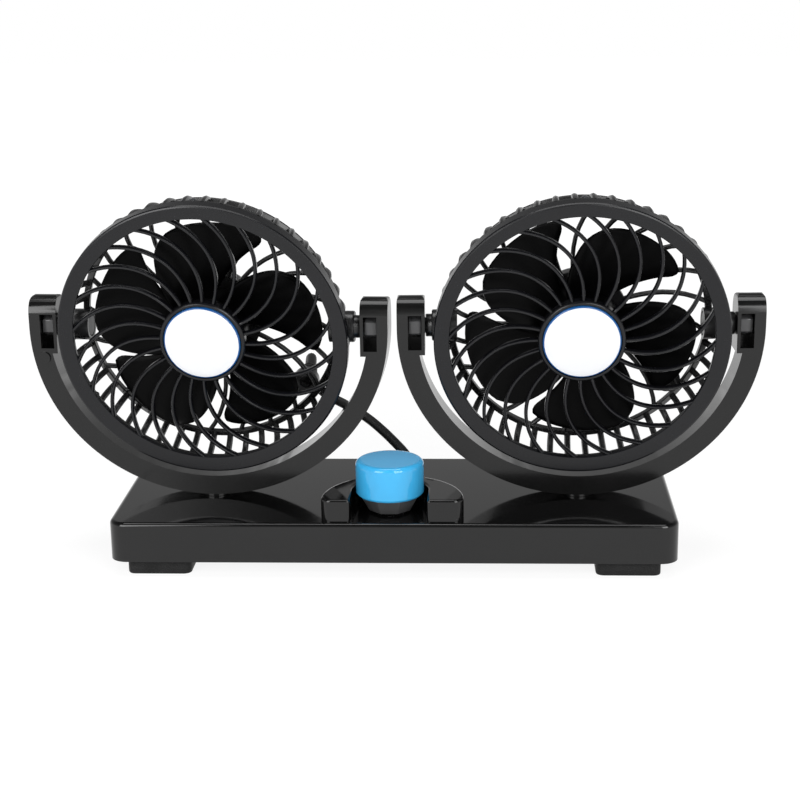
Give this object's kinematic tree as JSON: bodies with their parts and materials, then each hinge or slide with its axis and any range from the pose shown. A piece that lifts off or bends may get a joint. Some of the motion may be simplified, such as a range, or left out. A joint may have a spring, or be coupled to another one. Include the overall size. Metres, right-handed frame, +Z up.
{
  "type": "twin-head desk fan",
  "caption": "Low-voltage dashboard or desk fan: caged heads that tilt in U-shaped yokes and swivel on a flat base with a rotary speed knob.",
  "frame": {"origin": "on the floor, under the middle of the base", "axes": "+X to the right seen from the front, along the row of heads; +Y to the back, away from the side the air leaves; +Z up"},
  "size_m": [0.289, 0.085, 0.1451],
  "materials": {
    "gloss_black": "polished black",
    "satin_black": "satin moulded black",
    "blade_black": "smooth moulded black",
    "knob_blue": "smooth sky blue",
    "badge_white": "glossy white with a blue rim",
    "foam_black": "matt adhesive foam",
    "rubber_black": "smooth soft sheath",
    "steel": "turned steel",
    "zinc": "dark zinc plate"
  },
  "bodies": {
    "base": {"base_cover": "gloss_black", "base_bottom_plate": "satin_black", "base_screw_front_left": "zinc", "base_screw_front_right": "zinc", "base_screw_rear_left": "zinc", "base_screw_rear_right": "zinc", "foot_front_left": "foam_black", "foot_front_right": "foam_black", "foot_rear_left": "foam_black", "foot_rear_right": "foam_black", "left_lead_grommet": "rubber_black", "right_lead_grommet": "rubber_black", "supply_lead_bush": "rubber_black", "speed_switch": "blade_black", "switch_nut": "steel", "left_head_lead": "rubber_black"},
    "knob": {"switch_shaft": "steel", "knob_collar": "satin_black", "knob_cap": "knob_blue"},
    "left_yoke": {"left_yoke": "gloss_black", "left_swivel_washer": "steel", "left_swivel_screw": "zinc"},
    "left_head": {"left_front_guard": "satin_black", "left_badge": "badge_white", "left_rear_housing": "satin_black", "left_housing_screw_1": "zinc", "left_housing_screw_2": "zinc", "left_housing_screw_3": "zinc", "left_pivot_pin_left": "steel", "left_pivot_pin_right": "steel", "left_pivot_nut_left": "gloss_black", "left_pivot_nut_right": "gloss_black", "left_motor": "steel", "left_motor_screw_left": "zinc", "left_motor_screw_right": "zinc", "left_lead_gland": "rubber_black"},
    "left_fan": {"left_motor_shaft": "steel", "left_fan_wheel": "blade_black"},
    "right_yoke": {"right_yoke": "gloss_black", "right_swivel_washer": "steel", "right_swivel_screw": "zinc"},
    "right_head": {"right_front_guard": "satin_black", "right_badge": "badge_white", "right_rear_housing": "satin_black", "right_housing_screw_1": "zinc", "right_housing_screw_2": "zinc", "right_housing_screw_3": "zinc", "right_pivot_pin_left": "steel", "right_pivot_pin_right": "steel", "right_pivot_nut_left": "gloss_black", "right_pivot_nut_right": "gloss_black", "right_motor": "steel", "right_motor_screw_left": "zinc", "right_motor_screw_right": "zinc", "right_lead_gland": "rubber_black"},
    "right_fan": {"right_motor_shaft": "steel", "right_fan_wheel": "blade_black"}
  },
  "joints": [
    {"name": "knob_turn", "type": "hinge", "parent": "base", "child": "knob", "pos_m": [-0.0012, -0.0256, 0.0358], "axis": [0, 0, 1], "range_deg": [-60, 60]},
    {"name": "left_swivel", "type": "hinge", "parent": "base", "child": "left_yoke", "pos_m": [-0.07285, -0.0025, 0.091], "axis": [0, 0, 1], "range_deg": [-45, 30], "deforming": ["left_head_lead"]},
    {"name": "left_tilt", "type": "hinge", "parent": "left_yoke", "child": "left_head", "pos_m": [-0.07285, -0.0025, 0.091], "axis": [0.9986, -0.0523, 0], "range_deg": [-45, 30]},
    {"name": "left_fan_spin", "type": "hinge", "parent": "left_head", "child": "left_fan", "pos_m": [-0.07285, -0.0025, 0.091], "axis": [-0.0512, -0.9768, -0.2079], "continuous": true},
    {"name": "right_swivel", "type": "hinge", "parent": "base", "child": "right_yoke", "pos_m": [0.07285, -0.0025, 0.091], "axis": [0, 0, 1], "range_deg": [-30, 45]},
    {"name": "right_tilt", "type": "hinge", "parent": "right_yoke", "child": "right_head", "pos_m": [0.07285, -0.0025, 0.091], "axis": [0.9998, 0.0175, 0], "range_deg": [-45, 30]},
    {"name": "right_fan_spin", "type": "hinge", "parent": "right_head", "child": "right_fan", "pos_m": [0.07285, -0.0025, 0.091], "axis": [0.0171, -0.978, -0.2079], "continuous": true}
  ]
}
